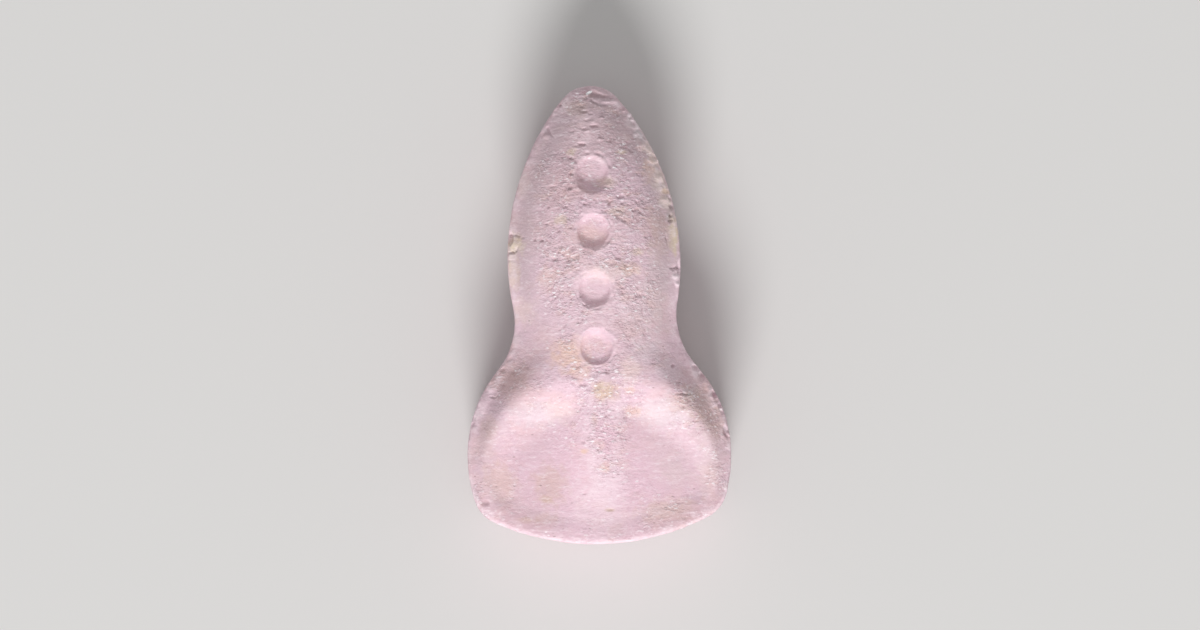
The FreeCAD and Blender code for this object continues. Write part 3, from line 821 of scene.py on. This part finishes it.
class Graph:
    """Shorthand for making and joining a material's nodes."""

    def __init__(self, name):
        self.material = bpy.data.materials.new(name)
        self.material.use_nodes = True
        self.nodes = self.material.node_tree.nodes
        self.links = self.material.node_tree.links
        self.shader = self.nodes["Principled BSDF"]

    def put(self, socket, value):
        """Give a socket a plain value, or join it to another node's socket."""
        if isinstance(value, bpy.types.NodeSocket):
            self.links.new(value, socket)
        elif isinstance(value, tuple) and len(value) == 3 and socket.type == "RGBA":
            socket.default_value = (*value, 1)
        else:
            socket.default_value = value

    def millimetres(self, scale):
        """The object's own coordinates in millimetres, stretched by a scale."""
        coordinates = self.nodes.new("ShaderNodeTexCoord").outputs["Object"]
        mapping = self.nodes.new("ShaderNodeMapping")
        self.links.new(coordinates, mapping.inputs["Vector"])
        mapping.inputs["Scale"].default_value = Vector(scale) / MM
        return mapping.outputs["Vector"]

    def noise(self, scale, detail, harshness=0.5):
        """Noise with so many repeats to a millimetre."""
        node = self.nodes.new("ShaderNodeTexNoise")
        self.links.new(self.millimetres(scale), node.inputs["Vector"])
        node.inputs["Scale"].default_value = 1
        node.inputs["Detail"].default_value = detail
        node.inputs["Roughness"].default_value = harshness
        return node.outputs["Fac"]

    def cells(self, scale):
        """Cells scattered over the surface: the distance to a cell's middle, and a colour of its own."""
        node = self.nodes.new("ShaderNodeTexVoronoi")
        self.links.new(self.millimetres(scale), node.inputs["Vector"])
        node.inputs["Scale"].default_value = 1
        return node.outputs["Distance"], node.outputs["Color"]

    def reach(self, place, half_sizes, turn):
        """How far a point lies from a place, as a share of the half sizes of a turned oval round it."""
        mapping = self.nodes.new("ShaderNodeMapping")
        mapping.vector_type = "TEXTURE"
        self.links.new(self.millimetres((1, 1, 1)), mapping.inputs["Vector"])
        mapping.inputs["Location"].default_value = place
        mapping.inputs["Rotation"].default_value = (0, 0, turn)
        mapping.inputs["Scale"].default_value = half_sizes
        node = self.nodes.new("ShaderNodeVectorMath")
        node.operation = "LENGTH"
        self.links.new(mapping.outputs["Vector"], node.inputs["Vector"])
        return node.outputs["Value"]

    def ranged(self, value, span, low=0, high=1):
        """A value brought smoothly from a span to the numbers between low and high."""
        node = self.nodes.new("ShaderNodeMapRange")
        node.interpolation_type = "SMOOTHSTEP"
        self.put(node.inputs["Value"], value)
        for name, number in zip(("From Min", "From Max", "To Min", "To Max"), (*span, low, high)):
            node.inputs[name].default_value = number
        return node.outputs["Result"]

    def mixed(self, share, first, second):
        """The first colour with a share of the second."""
        node = self.nodes.new("ShaderNodeMix")
        node.data_type = "RGBA"
        self.put(node.inputs["Factor"], share)
        colours = [socket for socket in node.inputs if socket.type == "RGBA"]
        self.put(colours[0], first)
        self.put(colours[1], second)
        return [socket for socket in node.outputs if socket.type == "RGBA"][0]

    def reckoned(self, operation, first, second):
        """What an operation makes of two values."""
        node = self.nodes.new("ShaderNodeMath")
        node.operation = operation
        self.put(node.inputs[0], first)
        self.put(node.inputs[1], second)
        return node.outputs["Value"]

    def times(self, first, second):
        """Product of two values."""
        return self.reckoned("MULTIPLY", first, second)

    def attribute(self, name, output="Fac"):
        """A value that the mesh carries at its points."""
        node = self.nodes.new("ShaderNodeAttribute")
        node.attribute_name = name
        return node.outputs[output]

    def bump(self, height, distance, strength):
        """Normals of a surface with a relief of so many millimetres."""
        node = self.nodes.new("ShaderNodeBump")
        self.links.new(height, node.inputs["Height"])
        node.inputs["Distance"].default_value = distance * MM
        node.inputs["Strength"].default_value = strength
        return node.outputs["Normal"]


def mottled(graph):
    """The powder's own pinks, its blotches of colour, painted shade and painted light, and streaks that run
    across it.
    """
    mottle = graph.ranged(graph.noise(MOTTLE_PER_MM, PLAIN_DETAIL), MOTTLE_SPAN)
    colour = graph.mixed(mottle, PINK, WARM_PINK)
    shade = graph.ranged(graph.noise(SHADE_PER_MM, FINE_DETAIL, SHADE_HARSHNESS), SHADE_SPAN)
    colour = graph.mixed(graph.times(shade, SHADE_SHARE), colour, COOL_PINK)
    # Stains, painted shade and painted light that the mesh carries
    colour = graph.mixed(graph.attribute("stain_and_painted_shading", "Alpha"), colour, graph.attribute("stain_and_painted_shading", "Color"))
    streak = graph.noise(STREAK_PER_MM, FINE_DETAIL, FINE_HARSHNESS)
    colour = graph.mixed(graph.ranged(streak, PALE_STREAK_SPAN, 0, PALE_STREAK_SHARE), colour, PALE)
    return graph.mixed(graph.ranged(streak, DUSTY_STREAK_SPAN, 0, DUSTY_STREAK_SHARE), colour, DUSTY_PINK)


def grained(graph, colour, grain, picked):
    """A colour with tinted patches, painted shade on low grains and painted light on high ones, painted
    shade in sunken places, and pale breaks.
    """
    tinted = graph.ranged(graph.noise(TINT_PER_MM, PLAIN_DETAIL), TINT_SPAN, 0, TINT_SHARE)
    colour = graph.mixed(graph.times(tinted, picked), colour, ORANGE)
    # Painted shade on low grains and painted light on high ones
    low = graph.times(graph.ranged(grain, LOW_GRAIN_SPAN, 0, LOW_GRAIN_SHADE_SHARE), picked)
    colour = graph.mixed(low, colour, ROSE_GRAIN_SHADE)
    high = graph.times(graph.ranged(grain, HIGH_GRAIN_SPAN, 0, HIGH_GRAIN_LIGHT_SHARE), picked)
    colour = graph.mixed(high, colour, CRUMB_PAINTED_LIGHT)
    # Painted shade in sunken places
    colour = graph.mixed(graph.times(graph.attribute("hollow_shade"), HOLLOW_SHADE_SHARE), colour, CREVICE_SHADE)
    return graph.mixed(graph.times(graph.attribute("broken"), BROKEN_SHARE), colour, PALE)


def dashed(graph, colour, picked):
    """A colour with small dark dashes, which are painted shade of fine cracks."""
    dash, own = graph.cells(DASH_PER_MM)
    chosen = graph.times(graph.ranged(own, PICKED_DASH_SPAN), picked)
    chosen = graph.reckoned("MAXIMUM", chosen, graph.ranged(own, PLAIN_DASH_SPAN))
    # Painted shade of fine cracks
    dark = graph.times(graph.ranged(dash, DASH_SPAN, 0, DASH_SHARE), chosen)
    return graph.mixed(dark, colour, CREVICE_SHADE)


def flecked(graph, colour, grain, picked):
    """A colour with small pale flecks, pale grains with painted sparkle, which the grain makes ragged."""
    fleck, own = graph.cells(FLECK_PER_MM)
    chosen = graph.times(graph.ranged(own, PICKED_FLECK_SPAN), picked)
    plain = graph.ranged(graph.attribute("picked"), PLAIN_SPAN, PLAIN_LEAST_SHARE)
    plain = graph.times(graph.ranged(own, PLAIN_FLECK_SPAN, 0, PLAIN_FLECK_SHARE), plain)
    chosen = graph.reckoned("MAXIMUM", chosen, plain)
    fleck = graph.reckoned("ADD", fleck, graph.times(grain, FLECK_GRAIN_SHARE))
    # Pale grains with painted sparkle
    light = graph.times(graph.ranged(fleck, FLECK_SPAN, 0, FLECK_SHARE), chosen)
    return graph.mixed(light, colour, FLECK_PALE_AND_SPARKLE)


def pressed_powder():
    """Matt pale pink powder: mottled and blotched, with painted shade in its sunken places, cracks and low
    grains, painted light on its high grains, sparkle and glint, and paler where it is broken.
    """
    graph = Graph("pressed_powder")
    colour = mottled(graph)
    picked = graph.ranged(graph.attribute("picked"), PICKED_SPAN, PICKED_LEAST_SHARE)
    grain = graph.noise(GRAIN_PER_MM, PLAIN_DETAIL, FINE_HARSHNESS)
    colour = grained(graph, colour, grain, picked)
    colour = dashed(graph, colour, picked)
    colour = flecked(graph, colour, grain, picked)
    # Painted highlight of the glint at the nose
    glint = graph.reach(GLINT_PLACE, GLINT_HALF_SIZES, math.radians(GLINT_TURN_DEG))
    colour = graph.mixed(graph.ranged(glint, GLINT_EDGE_SPAN), colour, PAINTED_GLINT_WHITE)
    inputs = graph.shader.inputs
    graph.put(inputs["Base Color"], colour)
    graph.put(inputs["Roughness"], graph.ranged(grain, ROUGHNESS_SPAN, LOW_ROUGHNESS, HIGH_ROUGHNESS))
    graph.put(inputs["Normal"], graph.bump(graph.times(grain, picked), BUMP_DEPTH, 1))
    inputs["Specular IOR Level"].default_value = SPECULAR_LEVEL
    return graph.material


def build(cad, rim):
    """The tablet's one visible piece."""
    piece = bpy.data.objects.new("tablet_body", finished_mesh(cad, rim))
    bpy.context.collection.objects.link(piece)
    piece.data.materials.append(pressed_powder())
    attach(piece, "root")
    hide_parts("tablet")


def floor():
    """The plain pale floor."""
    bpy.ops.mesh.primitive_plane_add(size=FLOOR_SIZE_M)
    plane = bpy.context.object
    plane.name = "floor"
    material = bpy.data.materials.new("floor")
    material.use_nodes = True
    shader = material.node_tree.nodes["Principled BSDF"]
    shader.inputs["Base Color"].default_value = (*FLOOR_COLOUR, 1)
    shader.inputs["Roughness"].default_value = FLOOR_ROUGHNESS
    plane.data.materials.append(material)


def lights():
    """A soft lamp low beyond the tail's end, and an even white surround."""
    world = bpy.data.worlds.new("studio")
    bpy.context.scene.world = world
    world.use_nodes = True
    background = world.node_tree.nodes["Background"]
    background.inputs["Color"].default_value = (1, 1, 1, 1)
    background.inputs["Strength"].default_value = WORLD_STRENGTH
    data = bpy.data.lights.new("key", "AREA")
    data.shape = "DISK"
    data.size = KEY_WIDTH_M
    data.energy = KEY_STRENGTH * math.pi ** 2 * KEY_REACH_M ** 2
    elevation = math.radians(KEY_ELEVATION_DEG)
    left = math.radians(KEY_LEFT_DEG)
    key = bpy.data.objects.new("key", data)
    bpy.context.collection.objects.link(key)
    direction = Vector((-math.sin(left) * math.cos(elevation), -math.cos(left) * math.cos(elevation),
                        math.sin(elevation)))
    key.location = direction * KEY_REACH_M
    key.rotation_euler = direction.to_track_quat("Z", "Y").to_euler()


cad_mesh = mesh_in_mm("tablet")
rim = Rim(cad_mesh)
photo_camera(rim.land_height)
build(cad_mesh, rim)
floor()
lights()
bpy.context.scene.view_settings.view_transform = "Standard"
